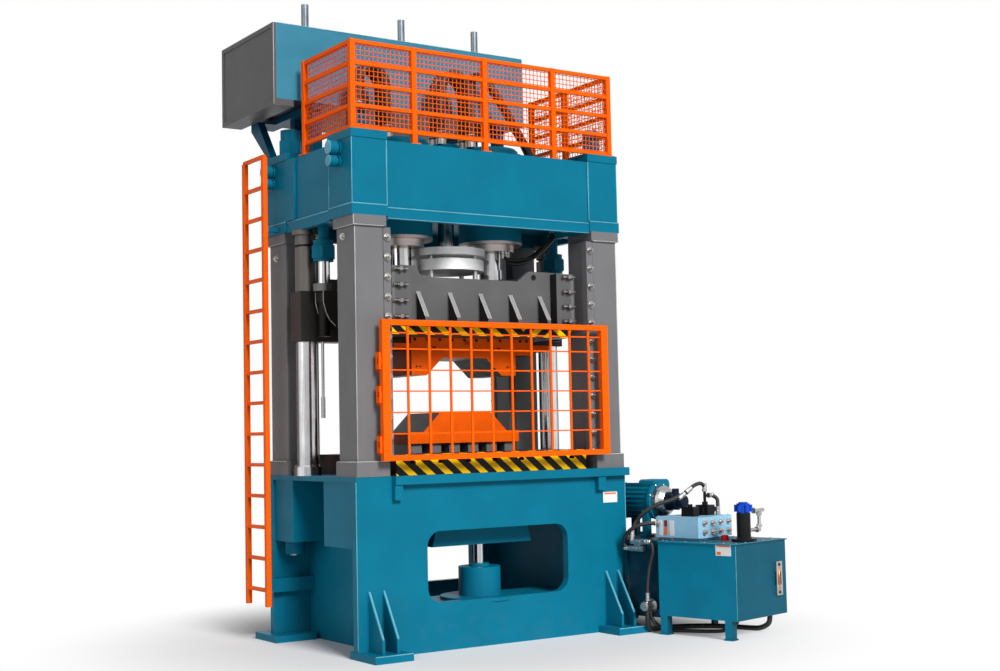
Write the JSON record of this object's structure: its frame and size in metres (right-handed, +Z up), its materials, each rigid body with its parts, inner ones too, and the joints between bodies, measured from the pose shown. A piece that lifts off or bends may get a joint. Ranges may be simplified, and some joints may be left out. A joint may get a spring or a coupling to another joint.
{
  "type": "hydraulic press",
  "caption": "Four-post hydraulic press with top tank, railed platform, side ladder, swing gate, shaped dies and a separate power unit.",
  "frame": {"origin": "on the floor at the middle of the four anchor bolts, under the middle of the posts", "axes": "+X to the right seen from the front, +Y to the back, +Z up"},
  "size_m": [4.2571, 3.7498, 6.225],
  "materials": {
    "blue_paint": "semi-gloss paint",
    "tank_blue": "semi-gloss paint",
    "box_blue": "semi-gloss paint",
    "orange_paint": "semi-gloss paint",
    "grey_paint": "semi-gloss paint",
    "dark_paint": "semi-gloss paint",
    "black_paint": "semi-gloss paint",
    "hazard_paint": "semi-gloss paint",
    "chrome": "polished",
    "bright_steel": "machined",
    "bronze": "machined",
    "black_rubber": "matt",
    "blue_plastic": "matt",
    "red_plastic": "satin"
  },
  "bodies": {
    "frame": {"apron": "blue_paint", "base": "blue_paint", "bell_housing": "grey_paint", "bolster": "hazard_paint", "crown": "blue_paint", "crown_bosses": "blue_paint", "cylinder_glands": "bronze", "ejector_cylinder": "blue_paint", "fence": "orange_paint", "fence_mesh": "orange_paint", "fill_hoses": "black_rubber", "filter_body": "black_paint", "filter_pipe": "bright_steel", "floor_hose_thick": "black_rubber", "floor_hose_thin": "black_rubber", "gate_hinges": "orange_paint", "guide_columns": "chrome", "guide_rails": "grey_paint", "hose_fittings": "bright_steel", "hose_stubs": "bright_steel", "ladder": "orange_paint", "level_gauge": "bright_steel", "lower_die": "orange_paint", "main_cylinders": "blue_paint", "manifold": "box_blue", "motor": "blue_paint", "port_plugs": "bright_steel", "post_front_left": "grey_paint", "post_front_right": "grey_paint", "post_rear_left": "grey_paint", "post_rear_right": "grey_paint", "pressure_hoses": "black_rubber", "pump": "black_paint", "rail_bolts": "bright_steel", "return_cylinders": "blue_paint", "riser_blocks": "grey_paint", "tank_end_cap": "grey_paint", "tank_struts": "blue_paint", "tie_nuts": "blue_paint", "tie_rods": "bright_steel", "top_tank": "tank_blue", "unit_bench": "dark_paint", "unit_tank": "blue_paint", "valve_block": "black_paint", "vent_pipes": "tank_blue"},
    "slide_group": {"slide": "grey_paint", "shoe_plates": "grey_paint", "shoe_bolts": "bright_steel", "die_plate": "hazard_paint", "upper_die": "orange_paint", "rams": "chrome", "ram_discs": "bright_steel", "slide_studs": "bright_steel", "return_rods": "chrome"},
    "gate_leaf": {"gate": "orange_paint"},
    "ejector": {"ejector_rod": "chrome", "ejector_beam": "blue_paint"},
    "fan": {"motor_fan": "blue_plastic"},
    "filter_lid": {"filter_cap": "blue_plastic"},
    "filler_lid": {"filler_cap": "red_plastic"}
  },
  "joints": [
    {"name": "slide_stroke", "type": "slide", "parent": "frame", "child": "slide_group", "axis": [0, 0, 1], "range_m": [-0.48, 0]},
    {"name": "gate_hinge", "type": "hinge", "parent": "frame", "child": "gate_leaf", "pos_m": [-1.309, -0.99, 2.2], "axis": [0, 0, -1], "range_deg": [0, 110]},
    {"name": "ejector_stroke", "type": "slide", "parent": "frame", "child": "ejector", "axis": [0, 0, 1], "range_m": [0, 0.2]},
    {"name": "fan_turn", "type": "hinge", "parent": "frame", "child": "fan", "pos_m": [1.80838, -0.38878, 1.24], "axis": [-0.225, 0.9744, 0], "continuous": true},
    {"name": "filter_cap_turn", "type": "hinge", "parent": "frame", "child": "filter_lid", "pos_m": [2.00191, -2.05393, 1.2], "axis": [0, 0, 1], "range_deg": [0, 90]},
    {"name": "filler_cap_turn", "type": "hinge", "parent": "frame", "child": "filler_lid", "pos_m": [1.97341, -1.81933, 0.9], "axis": [0, 0, 1], "range_deg": [0, 90]}
  ]
}
